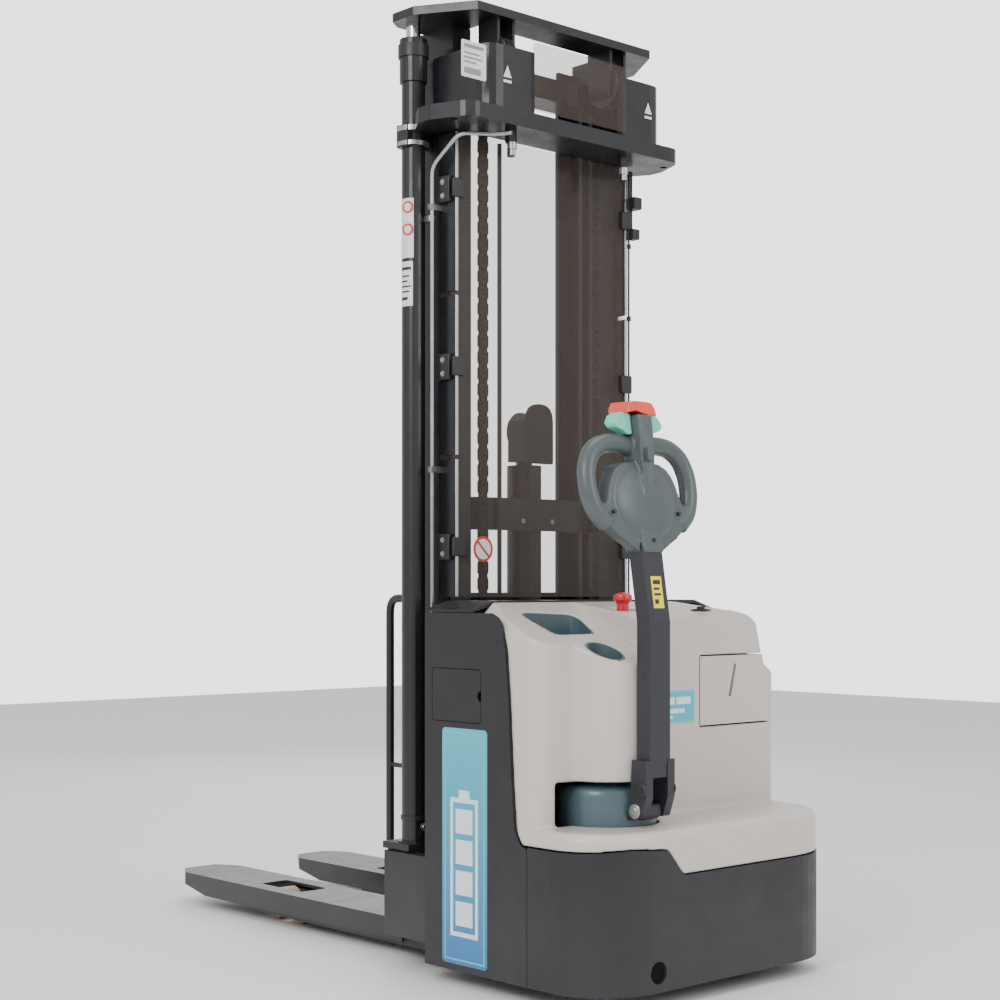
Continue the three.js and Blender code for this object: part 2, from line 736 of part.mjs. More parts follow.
// ---- stabilising caster ----
{
  const x = CASTER_X;
  const y = CASTER_Y;
  const wheelY = y - CASTER_TRAIL;
  const plate = rodZ(x, y, 34, 112, 130 - TOUCH, 28);
  const stem = rodZ(x, y, 12, 120, 225);
  const side = rounded([
    [wheelY - 16, CASTER_R - 14, 10],
    [wheelY + 16, CASTER_R - 14, 10],
    [y + 26, 113],
    [y - 34, 113],
  ]);
  const cheeks = join(prismX(side, x - 30, x - 24), prismX(side, x + 24, x + 30));
  const bridge = box(x - 30, x + 30, y - 30, y + 26, 106, 113);
  const axle = rodX(wheelY, CASTER_R, 7, x - 33, x + 33, 16);
  node("caster_fork", join(plate, stem, cheeks, bridge, axle), COLOURS.steel);
  const wheel = rodX(wheelY, CASTER_R, CASTER_R, x - 20, x + 20, 36);
  node("caster_wheel", cut(wheel, rodX(wheelY, CASTER_R, 7 + PIN_GAP, x - 40, x + 40, 16)), COLOURS.dark);
}

// ---- mast channels: an upright C opening inwards ----
function channel(s, outer, inner, y0, y1, web, flange, z0, z1) {
  const whole = box(s * inner, s * outer, y0, y1, z0, z1);
  const hollow = box(s * (inner - 5), s * (outer - web), y0 + flange, y1 - flange, z0 - 5, z1 + 5);
  return whole.subtract(hollow);
}
for (const [name, s] of SIDES) {
  node("outer_mast_" + name, channel(s, 275, 215, 612, 772, 12, 12, LEG_TOP, BEAM_TOP), COLOURS.steel);
  node("middle_mast_" + name, channel(s, 255, 200, 630, 754, 10, 10, 100, PLATE_Z - TOUCH), COLOURS.steel);
  const chainFoot = box(s * 173, s * 199, 595, 650, 130, 150);
  const inner = channel(s, 240, 185, 645, 739, 10, 10, 100, INNER_TOP);
  const tie = box(-185.5, 184.7, 652, 734, INNER_TOP - 60, INNER_TOP - 5);
  node("inner_mast_" + name, s < 0 ? join(inner, chainFoot, tie) : join(inner, chainFoot), COLOURS.steel);
}

// ---- crossbeam on the outer mast ----
{
  const shell = prismZ(
    rounded([
      [-290, 660],
      [-290, 465, 45],
      [290, 465, 45],
      [290, 660],
    ]),
    BEAM_TOP - BEAM_H,
    BEAM_TOP,
  );
  const hollow = prismZ(
    rounded([
      [-278, 700],
      [-278, 477, 35],
      [278, 477, 35],
      [278, 700],
    ]),
    FLANGE_Z - 50,
    HEIGHT,
  );
  const window_ = box(-147, 147, 440, 500, BEAM_TOP - 140, HEIGHT);
  const flange = prismZ(
    rounded([
      [-345, 463, 40],
      [345, 463, 40],
      [385, 560, 20],
      [385, 600],
      [350, 655],
      [276, 655],
      [276, 588],
      [-276, 588],
      [-276, 655],
      [-350, 655],
      [-385, 600],
      [-385, 560, 20],
    ]),
    FLANGE_Z,
    BEAM_TOP - BEAM_H + 1,
  );
  let beam = join(cut(shell, hollow, window_), flange);
  for (const [, s] of SIDES) {
    beam = cut(beam, rodZ(s * 348, 517, 9, FLANGE_Z - 10, BEAM_TOP, 16));
    beam = beam.add(rodZ(s * CHAIN_X, 504, 9, FLANGE_Z - 62, FLANGE_Z + 1, 12));
    beam = beam.add(rodZ(s * CHAIN_X, 504, 14, FLANGE_Z - 30, FLANGE_Z + 1, 6));
  }
  node("crossbeam", beam, COLOURS.steel);
  const paneZ = BEAM_TOP - 134;
  const pane = rounded([[-152, paneZ, 6], [152, paneZ, 6], [152, paneZ + 157, 6], [-152, paneZ + 157, 6]], 2);
  node("crossbeam_window", prismY(pane, 459, 465 - TOUCH), COLOURS.clear, { transparent: true, opacity: 0.4 });
}

// ---- top plate on the middle mast, with the sheave brackets ----
{
  let plate = prismZ(
    [
      [-286, 506],
      [286, 506],
      [368, 639],
      [368, 714],
      [335, 738],
      [243, 738],
      [243, 642],
      [203, 642],
      [203, 592],
      [-203, 592],
      [-203, 642],
      [-243, 642],
      [-243, 738],
      [-335, 738],
      [-368, 714],
      [-368, 639],
    ],
    PLATE_Z,
    HEIGHT,
  );
  for (const [, s] of SIDES) {
    const drop = (xa, xb) => box(s * xa, s * xb, 520, 586, SHEAVE_Z - 28, PLATE_Z + 1);
    plate = join(plate, drop(158, 166), drop(206, 214));
    plate = plate.add(rodX(SHEAVE_Y, SHEAVE_Z, 10, s * 160, s * 212, 16));
  }
  node("top_plate", plate, COLOURS.steel);
}
for (const [name, s] of SIDES) {
  const half = CHAIN_W / 2 + 0.6;
  const x = s * CHAIN_X;
  const drum = rodX(SHEAVE_Y, SHEAVE_Z, SHEAVE_R, x - half - 4, x + half + 4, 36);
  const rims = [-1, 1].map((e) => rodX(SHEAVE_Y, SHEAVE_Z, SHEAVE_R + 9, x + e * half, x + e * (half + 4), 36));
  const bore = rodX(SHEAVE_Y, SHEAVE_Z, 10 + PIN_GAP, x - 40, x + 40, 16);
  node("sheave_" + name, cut(join(drum, ...rims), bore), COLOURS.dark);

  // Leaf chain: up from the anchor, over the sheave, down to the foot of the inner mast.
  const near = SHEAVE_R + 0.6;
  const far = near + CHAIN_T;
  const outline = [];
  outline.push([SHEAVE_Y + near, 150 + TOUCH], [SHEAVE_Y + far, 150 + TOUCH]);
  for (let k = 0; k <= 14; k++) {
    const a = (k / 14) * Math.PI;
    outline.push([SHEAVE_Y + far * Math.cos(a), SHEAVE_Z + far * Math.sin(a)]);
  }
  const anchorZ = BEAM_TOP - BEAM_H + 1 + TOUCH;
  outline.push([SHEAVE_Y - far, anchorZ], [SHEAVE_Y - near, anchorZ]);
  for (let k = 14; k >= 0; k--) {
    const a = (k / 14) * Math.PI;
    outline.push([SHEAVE_Y + near * Math.cos(a), SHEAVE_Z + near * Math.sin(a)]);
  }
  node("lift_chain_" + name, prismX(outline, x - CHAIN_W / 2, x + CHAIN_W / 2), COLOURS.dark);
}

// ---- side lift cylinders and their rods ----
for (const [name, s] of SIDES) {
  const x = s * CYL_X;
  const barrel = join(
    rodZ(x, CYL_Y, 36, CYL_BASE + TOUCH, 292, 24),
    rodZ(x, CYL_Y, CYL_R, 290, CYL_TOP - 93, 24),
    rodZ(x, CYL_Y, CYL_R + 5, CYL_TOP - 101, CYL_TOP, 24),
    box(x - 34, x + 34, CYL_Y - 20, CYL_Y + 20, CLAMP_Z, CLAMP_Z + 52),
    box(s * 275.4, s * 300, CYL_Y - 14, CYL_Y + 14, CLAMP_Z + 6, CLAMP_Z + 46),
  );
  node("cylinder_" + name, cut(barrel, rodZ(x, CYL_Y, ROD_R + PIN_GAP, 296, HEIGHT, 24)), COLOURS.steel);
  node("rod_" + name, rodZ(x, CYL_Y, ROD_R, 300, PLATE_Z - TOUCH, 24), COLOURS.chrome);
}

// ---- mast guard ----
{
  const plan = [
    [-282, 647],
    [-282, 586],
    [282, 586],
    [282, 647],
    [276.5, 647],
    [276.5, 591],
    [-276.5, 591],
    [-276.5, 647],
  ];
  node("mast_guard", prismZ(plan, 860, FLANGE_Z - 2), COLOURS.clear, { transparent: true, opacity: 0.35 });
}

// ---- hydraulic pipe clipped to the left mast ----
{
  const run = [
    [-310, 640, 300],
    [-310, 640, FLANGE_Z - 81],
    [-296, 560, FLANGE_Z - 14],
    [-230, 504, FLANGE_Z - 17],
    [-215, 470, FLANGE_Z - 17],
  ];
  const pipe = bentTube(run, 5, 22, 8);
  const clips = [500, 1150, FLANGE_Z - 182].map((z) => box(-318, -282.5, 632, 646, z, z + 14));
  node("hydraulic_pipe", join(pipe, ...clips), COLOURS.chrome);
}

// ---- inner mast: cross bar and free lift cylinder ----
{
  const bow = [
    [-199, 644.7],
    [-199, 615],
    [-150, 611],
    [-70, 599],
    [70, 599],
    [150, 611],
    [199, 615],
    [199, 644.7],
    [150, 636],
    [70, 615.5],
    [-70, 615.5],
    [-150, 636],
  ];
  node("mid_crossbar", prismZ(bow, 1020, 1097), COLOURS.steel);
  const barrel = rodZ(0, FREE_Y, 42, 117, 1180, 32);
  const base = box(-184.7, 184.7, 650, 700, 100, 118);
  const bore = rodZ(0, FREE_Y, 20 + PIN_GAP, 140, 1300, 20);
  node("free_lift_cylinder", cut(barrel.add(base), bore), COLOURS.steel);
  const yoke = join(
    rodZ(0, FREE_Y, 20, 145, 1200, 20),
    box(-26, 26, FREE_Y - 52, FREE_Y + 30, 1190, 1208),
    box(-26, -19, FREE_Y - 30, FREE_Y + 30, 1190, FREE_Z + 25),
    box(19, 26, FREE_Y - 30, FREE_Y + 30, 1190, FREE_Z + 25),
    rodX(FREE_Y, FREE_Z, 9, -25, 25, 16),
  );
  const cover = prismY(
    rounded([
      [-44, 1183, 6],
      [44, 1183, 6],
      [44, 1328, 42],
      [-44, 1328, 42],
    ]),
    602,
    609,
  );
  node("free_lift_rod", yoke.add(cover), COLOURS.steel);
  const pulley = rodX(FREE_Y, FREE_Z, 45, -17.5, 17.5, 36);
  node("free_lift_sheave", cut(pulley, rodX(FREE_Y, FREE_Z, 9 + PIN_GAP, -30, 30, 16)), COLOURS.dark);
}

// ---- carriage, forks and side bows ----
{
  const front = FORK_HEEL - TOUCH;
  let carriage = join(
    box(-285, 285, front - 8, front, 120, 240),
    box(-285, 285, front - 8, front, 480, 560),
    box(-285, 285, front - 8, front, 820, 870),
  );
  for (const [, s] of SIDES) {
    carriage = join(
      carriage,
      box(s * 250, s * 285, front - 8, front, 120, 870),
      box(s * 168, s * 180, 668, front, 120, 640),
      box(s * 150, s * 210, front - 8, front, 120, 870),
    );
    for (const z of [175, 590]) {
      carriage = carriage.add(rodX(692, z, 34, s * 187, s * 226, 28)).add(rodX(692, z, 14, s * 170, s * 190, 16));
    }
  }
  node("carriage_frame", carriage, COLOURS.steel);
}
for (const [name, s] of SIDES) {
  const half = FORK_W / 2;
  const x = s * FORK_X;
  const plan = rounded(
    [
      [x - half, FORK_HEEL],
      [x + half, FORK_HEEL],
      [x + half, LENGTH - 70],
      [x + 45, LENGTH, 30],
      [x - 45, LENGTH, 30],
      [x - half, LENGTH - 70],
    ],
    4,
  );
  const blade = prismZ(plan, FORK_BASE, FORK_TOP).intersect(
    prismX(
      [
        [700, FORK_BASE],
        [LENGTH - 172, FORK_BASE],
        [LENGTH + 1, 70],
        [LENGTH + 1, FORK_TOP - 4],
        [LENGTH - 8, FORK_TOP],
        [700, FORK_TOP],
      ],
      x - 100,
      x + 100,
    ),
  );
  const tunnel = box(x - half + 7, x + half - 7, 700, LENGTH - 162, FORK_BASE - 10, FORK_TOP - 8);
  const pocket = prismZ(
    rounded([
      [x - 42, LOAD_Y[0] - 27, 12],
      [x + 42, LOAD_Y[0] - 27, 12],
      [x + 42, LOAD_Y[1] + 51, 12],
      [x - 42, LOAD_Y[1] + 51, 12],
    ]),
    0,
    200,
  );
  const shank = prismY(
    mirrored(
      [
        [285, FORK_BASE],
        [285, 130],
        [222, 330],
        [222, 560],
        [132, 560],
        [132, 130],
        [105, 100],
        [105, FORK_BASE],
      ],
      s,
    ),
    FORK_HEEL,
    FORK_HEEL + SHANK,
  );
  node("fork_" + name, cut(join(blade, shank), tunnel, pocket), COLOURS.steel);
  const bx = s * 272;
  const rear = FORK_HEEL;
  const loop = bentTube(
    [
      [bx, rear, 857],
      [bx, 843, 857],
      [bx, 843, 240],
      [bx, rear, 240],
    ],
    10,
    34,
    12,
  );
  const strut = sweep([new THREE.Vector3(bx, rear, 455), new THREE.Vector3(bx, 843, 455)], 6, 10);
  node("bow_" + name, loop.add(strut), COLOURS.steel);
}

root.position.y = -LENGTH / 2;
export default root;
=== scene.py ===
"""Walkie stacker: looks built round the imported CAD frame."""
import json
import math

import bmesh
import bpy
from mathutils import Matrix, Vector


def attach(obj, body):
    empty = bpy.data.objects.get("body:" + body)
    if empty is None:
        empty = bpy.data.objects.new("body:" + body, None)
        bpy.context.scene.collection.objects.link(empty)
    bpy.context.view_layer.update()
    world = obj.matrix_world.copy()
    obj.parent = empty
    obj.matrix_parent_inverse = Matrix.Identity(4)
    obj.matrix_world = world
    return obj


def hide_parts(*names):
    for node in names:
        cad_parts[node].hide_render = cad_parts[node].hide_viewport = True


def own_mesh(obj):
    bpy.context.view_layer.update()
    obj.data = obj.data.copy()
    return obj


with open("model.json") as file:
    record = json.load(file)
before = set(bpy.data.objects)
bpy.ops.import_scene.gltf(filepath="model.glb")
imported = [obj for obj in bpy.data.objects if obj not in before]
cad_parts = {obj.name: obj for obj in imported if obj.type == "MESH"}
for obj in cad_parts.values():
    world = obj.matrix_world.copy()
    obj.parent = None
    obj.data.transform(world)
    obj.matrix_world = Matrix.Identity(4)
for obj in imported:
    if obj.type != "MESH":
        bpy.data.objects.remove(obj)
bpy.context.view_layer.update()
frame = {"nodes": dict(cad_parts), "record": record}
NODES = frame["nodes"]
HALF = 906.0  # half the overall length, mm: Y below is counted from the rear face


def P(x, y, z):
    return Vector((x / 1000, (y - HALF) / 1000, z / 1000))


# ---------------------------------------------------------------- camera, backdrop, light
cam_data = bpy.data.cameras.new("camera")
cam = bpy.data.objects.new("camera", cam_data)
bpy.context.scene.collection.objects.link(cam)
cam.location = P(-2974.3, -2533.5, 884)
cam.rotation_euler = (math.radians(90), 0, math.radians(-42.2))
cam_data.sensor_width = 36
cam_data.lens = 64.1
cam_data.shift_y = 0.087
cam_data.clip_end = 60
bpy.context.scene.camera = cam

world = bpy.data.worlds.new("studio")
bpy.context.scene.world = world
world.use_nodes = True
SKY_LIGHT, SKY_SEEN = 0.95, 2.6  # strength for lighting, and as the backdrop
tree = world.node_tree
backdrop = tree.nodes["Background"]
backdrop.inputs["Color"].default_value = (1, 1, 1, 1)
path = tree.nodes.new("ShaderNodeLightPath")
sky = tree.nodes.new("ShaderNodeMapRange")
sky.inputs["To Min"].default_value = SKY_LIGHT
sky.inputs["To Max"].default_value = SKY_SEEN
tree.links.new(path.outputs["Is Camera Ray"], sky.inputs["Value"])
tree.links.new(sky.outputs["Result"], backdrop.inputs["Strength"])


def area(name, place, aim, size, power, tall=None):
    data = bpy.data.lights.new(name, "AREA")
    data.energy = power
    data.size = size
    if tall:
        data.shape = "RECTANGLE"
        data.size_y = tall
    lamp = bpy.data.objects.new(name, data)
    bpy.context.scene.collection.objects.link(lamp)
    lamp.location = place
    lamp.rotation_euler = (Vector(aim) - Vector(place)).to_track_quat("-Z", "Y").to_euler()


area("key", (-4.2, -1.6, 3.4), (0, 0, 0.9), 1.8, 110, 2.4)
area("rear_fill", (0.9, -4.4, 2.6), (0, 0, 0.8), 2.2, 50, 2.2)
area("front_fill", (2.6, 3.6, 2.6), (0, 0, 1.0), 2.4, 40, 2.4)
area("top", (0.2, -0.4, 5.2), (0, 0, 0), 2.6, 60, 2.6)


# ---------------------------------------------------------------- materials
def finish(name, colour, rough=0.5, metal=0.0, vary=0.06, scale=5.0, grain=0.05, grain_scale=700.0,
           coat=0.0, alpha=1.0, dust=0.0, streak=0.0, rough_vary=0.08, depth=0.0003):
    m = bpy.data.materials.new(name)
    m.use_nodes = True
    nt = m.node_tree
    n, link = nt.nodes, nt.links
    shader = n["Principled BSDF"]
    place = n.new("ShaderNodeTexCoord")
    cloud = n.new("ShaderNodeTexNoise")
    cloud.inputs["Scale"].default_value = scale
    cloud.inputs["Detail"].default_value = 5
    link.new(place.outputs["Object"], cloud.inputs["Vector"])
    ramp = n.new("ShaderNodeValToRGB")
    ramp.color_ramp.elements[0].position = 0.3
    ramp.color_ramp.elements[1].position = 0.7
    ramp.color_ramp.elements[0].color = [c * (1 - vary) for c in colour] + [1]
    ramp.color_ramp.elements[1].color = [min(1, c * (1 + vary)) for c in colour] + [1]
    link.new(cloud.outputs["Fac"], ramp.inputs["Fac"])
    colour_out = ramp.outputs["Color"]
    if streak:
        stretch = n.new("ShaderNodeMapping")
        stretch.inputs["Scale"].default_value = (60, 60, 1.5)
        link.new(place.outputs["Object"], stretch.inputs["Vector"])
        lines = n.new("ShaderNodeTexNoise")
        lines.inputs["Scale"].default_value = 3
        link.new(stretch.outputs["Vector"], lines.inputs["Vector"])
        mix = n.new("ShaderNodeMix")
        mix.data_type = "RGBA"
        mix.blend_type = "MULTIPLY"
        mix.inputs["Factor"].default_value = streak
        link.new(colour_out, mix.inputs["A"])
        link.new(lines.outputs["Color"], mix.inputs["B"])
        colour_out = mix.outputs["Result"]
    if dust:
        split = n.new("ShaderNodeSeparateXYZ")
        link.new(place.outputs["Object"], split.inputs["Vector"])
        low = n.new("ShaderNodeMapRange")
        low.inputs["From Min"].default_value = 0.0
        low.inputs["From Max"].default_value = 0.35
        low.inputs["To Min"].default_value = dust
        low.inputs["To Max"].default_value = 0.0
        link.new(split.outputs["Z"], low.inputs["Value"])
        times = n.new("ShaderNodeMath")
        times.operation = "MULTIPLY"
        link.new(low.outputs["Result"], times.inputs[0])
        link.new(cloud.outputs["Fac"], times.inputs[1])
        mix = n.new("ShaderNodeMix")
        mix.data_type = "RGBA"
        link.new(times.outputs["Value"], mix.inputs["Factor"])
        link.new(colour_out, mix.inputs["A"])
        mix.inputs["B"].default_value = (0.42, 0.38, 0.33, 1)
        colour_out = mix.outputs["Result"]
    link.new(colour_out, shader.inputs["Base Color"])
    polish = n.new("ShaderNodeTexNoise")
    polish.inputs["Scale"].default_value = scale * 4
    polish.inputs["Detail"].default_value = 6
    link.new(place.outputs["Object"], polish.inputs["Vector"])
    spread = n.new("ShaderNodeMapRange")
    spread.inputs["From Min"].default_value = 0.3
    spread.inputs["From Max"].default_value = 0.7
    spread.inputs["To Min"].default_value = max(0.02, rough - rough_vary)
    spread.inputs["To Max"].default_value = min(1, rough + rough_vary)
    link.new(polish.outputs["Fac"], spread.inputs["Value"])
    link.new(spread.outputs["Result"], shader.inputs["Roughness"])
    fine = n.new("ShaderNodeTexNoise")
    fine.inputs["Scale"].default_value = grain_scale
    fine.inputs["Detail"].default_value = 3
    link.new(place.outputs["Object"], fine.inputs["Vector"])
    bump = n.new("ShaderNodeBump")
    bump.inputs["Strength"].default_value = grain
    bump.inputs["Distance"].default_value = depth
    link.new(fine.outputs["Fac"], bump.inputs["Height"])
    link.new(bump.outputs["Normal"], shader.inputs["Normal"])
    shader.inputs["Metallic"].default_value = metal
    shader.inputs["Coat Weight"].default_value = coat
    shader.inputs["Coat Roughness"].default_value = 0.12
    if alpha < 1:
        shader.inputs["Alpha"].default_value = alpha
    return m


M = {
    "charcoal_cover": finish("charcoal_cover", (0.011, 0.0105, 0.014), 0.48, vary=0.1, grain=0.3, dust=0.08),
    "beige_cover": finish("beige_cover", (0.6, 0.545, 0.5), 0.34, vary=0.008, grain=0.03, grain_scale=420, coat=0.3,
                          rough_vary=0.02),
    "frame_paint": finish("frame_paint", (0.01, 0.01, 0.013), 0.5, vary=0.15, grain=0.25, dust=0.2),
    "mast_paint": finish("mast_paint", (0.008, 0.008, 0.011), 0.34, vary=0.12, grain=0.07, grain_scale=420, coat=0.12,
                         dust=0.1),
    "arm_paint": finish("arm_paint", (0.022, 0.022, 0.03), 0.4, vary=0.1, grain=0.25, grain_scale=600),
    "black_plastic": finish("black_plastic", (0.018, 0.018, 0.02), 0.45, vary=0.15, grain=0.3),
    "grip_plastic": finish("grip_plastic", (0.07, 0.088, 0.092), 0.38, vary=0.05, grain=0.2, grain_scale=800,
                           coat=0.15),
    "insert_plastic": finish("insert_plastic", (0.07, 0.12, 0.14), 0.34, vary=0.05, grain=0.15, coat=0.2),
    "drum_paint": finish("drum_paint", (0.07, 0.12, 0.14), 0.3, vary=0.08, grain=0.12, coat=0.3),
    "teal_plastic": finish("teal_plastic", (0.15, 0.66, 0.47), 0.35, vary=0.05, grain=0.15, coat=0.2),
    "red_plastic": finish("red_plastic", (0.82, 0.075, 0.035), 0.36, vary=0.05, grain=0.12, coat=0.25),
    "stop_red": finish("stop_red", (0.62, 0.008, 0.03), 0.28, vary=0.05, grain=0.08, coat=0.4),
    "stop_yellow": finish("stop_yellow", (0.85, 0.5, 0.02), 0.42, vary=0.06, grain=0.1),
    "chromed_rod": finish("chromed_rod", (0.62, 0.62, 0.64), 0.12, 1.0, vary=0.06, grain=0.04, rough_vary=0.06),
    "zinc_steel": finish("zinc_steel", (0.5, 0.5, 0.49), 0.32, 1.0, vary=0.14, grain=0.15, streak=0.2),
    "sheave_steel": finish("sheave_steel", (0.12, 0.115, 0.11), 0.38, 0.8, vary=0.2, grain=0.2),
    "chain_steel": finish("chain_steel", (0.045, 0.042, 0.04), 0.32, 0.85, vary=0.25, grain=0.2),
    "battery_case": finish("battery_case", (0.07, 0.12, 0.14), 0.4, vary=0.08, grain=0.2),
    "pump_paint": finish("pump_paint", (0.02, 0.02, 0.022), 0.45, vary=0.15, grain=0.2),
    "drive_rubber": finish("drive_rubber", (0.02, 0.02, 0.02), 0.75, vary=0.2, grain=0.5, dust=0.3),
    "load_polyurethane": finish("load_polyurethane", (0.42, 0.2, 0.08), 0.42, vary=0.12, grain=0.1, dust=0.3),
    "clear_sheet": finish("clear_sheet", (0.1, 0.075, 0.062), 0.08, vary=0.15, scale=1.4, grain=0.0, alpha=0.28,
                          rough_vary=0.03),
    "aluminium_edge": finish("aluminium_edge", (0.62, 0.62, 0.63), 0.28, 1.0, vary=0.08, grain=0.1, streak=0.15),
    "white_label": finish("white_label", (0.75, 0.75, 0.74), 0.4, vary=0.04, grain=0.05),
    "grey_print": finish("grey_print", (0.25, 0.25, 0.26), 0.45, vary=0.08, grain=0.05),
    "red_print": finish("red_print", (0.6, 0.03, 0.03), 0.4, vary=0.06, grain=0.05),
    "yellow_label": finish("yellow_label", (0.95, 0.8, 0.0), 0.38, vary=0.05, grain=0.05),
    "dark_print": finish("dark_print", (0.02, 0.02, 0.02), 0.45, vary=0.1, grain=0.05),
    "pale_print": finish("pale_print", (0.78, 0.86, 0.88), 0.4, vary=0.03, grain=0.04),
    "pale_blue": finish("pale_blue", (0.12, 0.52, 0.66), 0.35, vary=0.03, grain=0.04),
}


def gradient(name, low, high, z0, z1, rough=0.33):
    m = finish(name, high, rough, vary=0.02, grain=0.04)
    n, link = m.node_tree.nodes, m.node_tree.links
    shader = n["Principled BSDF"]
    place = n["Texture Coordinate"]
    split = n.new("ShaderNodeSeparateXYZ")
    link.new(place.outputs["Object"], split.inputs["Vector"])
    rise = n.new("ShaderNodeMapRange")
    rise.inputs["From Min"].default_value = z0
    rise.inputs["From Max"].default_value = z1
    link.new(split.outputs["Z"], rise.inputs["Value"])
    ramp = n.new("ShaderNodeValToRGB")
    ramp.color_ramp.elements[0].color = (*low, 1)
    ramp.color_ramp.elements[1].color = (*high, 1)
    link.new(rise.outputs["Result"], ramp.inputs["Fac"])
    link.new(ramp.outputs["Color"], shader.inputs["Base Color"])
    return m


M["decal_gradient"] = gradient("decal_gradient", (0.035, 0.19, 0.42), (0.075, 0.48, 0.6), 0.05, 0.57)

floor_mat = finish("floor", (0.9, 0.9, 0.9), 0.6, vary=0.005, grain=0.02, scale=1)


# ---------------------------------------------------------------- mesh helpers
def place(name, mesh, mat, body, slot=None, bevel=0.0, smooth=30.0):
    obj = bpy.data.objects.new(name, mesh)
    bpy.context.scene.collection.objects.link(obj)
    mesh.materials.append(M[mat])
    for poly in mesh.polygons:
        poly.use_smooth = True
    if bevel:
        mod = obj.modifiers.new("edges", "BEVEL")
        mod.width = bevel / 1000
        mod.segments = 2
        mod.limit_method = "ANGLE"
        mod.angle_limit = math.radians(35)
    mesh.set_sharp_from_angle(angle=math.radians(smooth))
    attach(obj, body)
    return obj


def mesh_of(bm, name):
    bmesh.ops.recalc_face_normals(bm, faces=bm.faces)
    mesh = bpy.data.meshes.new(name)
    bm.to_mesh(mesh)
    bm.free()
    return mesh


def prism(name, points, a0, a1, axis, mat, body, slot=None, **more):
    """points are pairs in the two other axes, in X, Y, Z order, mm; a0 and a1 along axis."""
    bm = bmesh.new()
    rings = []
    for a in (a0, a1):
        ring = []
        for u, v in points:
            place_at = {"X": P(a, u, v), "Y": P(u, a, v), "Z": P(u, v, a)}[axis]
            ring.append(bm.verts.new(place_at))
        rings.append(ring)
    bm.faces.new(rings[0])
    bm.faces.new(rings[1])
    count = len(points)
    for i in range(count):
        j = (i + 1) % count
        bm.faces.new((rings[0][i], rings[0][j], rings[1][j], rings[1][i]))
    return place(name, mesh_of(bm, name), mat, body, slot, **more)


def block(name, x0, x1, y0, y1, z0, z1, mat, body, slot=None, **more):
    more.setdefault("bevel", 1.0)
    return prism(name, [(x0, y0), (x1, y0), (x1, y1), (x0, y1)], z0, z1, "Z", mat, body, slot, **more)


def lathe(name, profile, centre, axis, mat, body, slot=None, sides=40, closed=True, **more):
    """profile: (radius, height) pairs in mm along the axis from centre."""
    bm = bmesh.new()
    turn = Vector((0, 0, 1)).rotation_difference(Vector(axis)).to_matrix()
    base = P(*centre)
    rings = []
    for r, h in profile:
        if r < 0.01:
            rings.append([bm.verts.new(base + turn @ Vector((0, 0, h / 1000)))])
            continue
        ring = []
        for i in range(sides):
            a = 2 * math.pi * i / sides
            v = Vector((r * math.cos(a), r * math.sin(a), h)) / 1000
            ring.append(bm.verts.new(base + turn @ v))
        rings.append(ring)
    for a, b in zip(rings, rings[1:]):
        for i in range(sides):
            j = (i + 1) % sides
            if len(a) == 1:
                bm.faces.new((a[0], b[j], b[i]))
            elif len(b) == 1:
                bm.faces.new((a[i], a[j], b[0]))
            else:
                bm.faces.new((a[i], a[j], b[j], b[i]))
    if closed and len(rings[0]) > 1:
        bm.faces.new(list(reversed(rings[0])))
    if closed and len(rings[-1]) > 1:
        bm.faces.new(rings[-1])
    if not closed:
        bmesh.ops.remove_doubles(bm, verts=bm.verts, dist=1e-6)
    more.setdefault("smooth", 32.0)
    return place(name, mesh_of(bm, name), mat, body, slot, **more)


def bolt(name, centre, axis, r, height, mat, body, slot=None):
    """Hexagon head with a washer and a chamfered top."""
    turn = Vector((0, 0, 1)).rotation_difference(Vector(axis)).to_matrix()
    bm = bmesh.new()
    base = P(*centre)
    washer = height * 0.18

    def stack(levels, sides):
        rings = []
        for rad, h in levels:
            angles = [2 * math.pi * i / sides for i in range(sides)]
            rings.append([bm.verts.new(base + turn @ (Vector((rad * math.cos(a), rad * math.sin(a), h)) / 1000))
                          for a in angles])
        for a, b in zip(rings, rings[1:]):
            for i in range(sides):
                j = (i + 1) % sides
                bm.faces.new((a[i], a[j], b[j], b[i]))
        bm.faces.new(list(reversed(rings[0])))
        bm.faces.new(rings[-1])

    stack([(r * 1.35, 0), (r * 1.35, washer)], 32)
    stack([(r, washer), (r, height * 0.85), (r * 0.84, height)], 6)
    return place(name, mesh_of(bm, name), mat, body, slot, bevel=0.3, smooth=25)


def pipe(name, points, r, mat, body, slot=None, bend=18.0, sides=14):
    """A tube through points (mm) with rounded bends."""
    pts = [P(*p) for p in points]
    path = [pts[0]]
    for i in range(1, len(pts) - 1):
        b = min(bend / 1000, (pts[i] - pts[i - 1]).length * 0.45, (pts[i + 1] - pts[i]).length * 0.45)
        a = pts[i] + (pts[i - 1] - pts[i]).normalized() * b
        c = pts[i] + (pts[i + 1] - pts[i]).normalized() * b
        for k in range(9):
            t = k / 8
            path.append(a * (1 - t) ** 2 + pts[i] * 2 * t * (1 - t) + c * t * t)
    path.append(pts[-1])
    bm = bmesh.new()
    normal = None
    rings = []
    for i, p in enumerate(path):
        d = (path[min(i + 1, len(path) - 1)] - path[max(i - 1, 0)]).normalized()
        if normal is None:
            normal = d.orthogonal().normalized()
        normal = (normal - d * normal.dot(d)).normalized()
        side = d.cross(normal)
        rings.append([bm.verts.new(p + (normal * math.cos(2 * math.pi * k / sides)
                      + side * math.sin(2 * math.pi * k / sides)) * r / 1000) for k in range(sides)])
    for a, b in zip(rings, rings[1:]):
        for k in range(sides):
            bm.faces.new((a[k], a[(k + 1) % sides], b[(k + 1) % sides], b[k]))
    bm.faces.new(list(reversed(rings[0])))
    bm.faces.new(rings[-1])
    return place(name, mesh_of(bm, name), mat, body, slot, smooth=50)


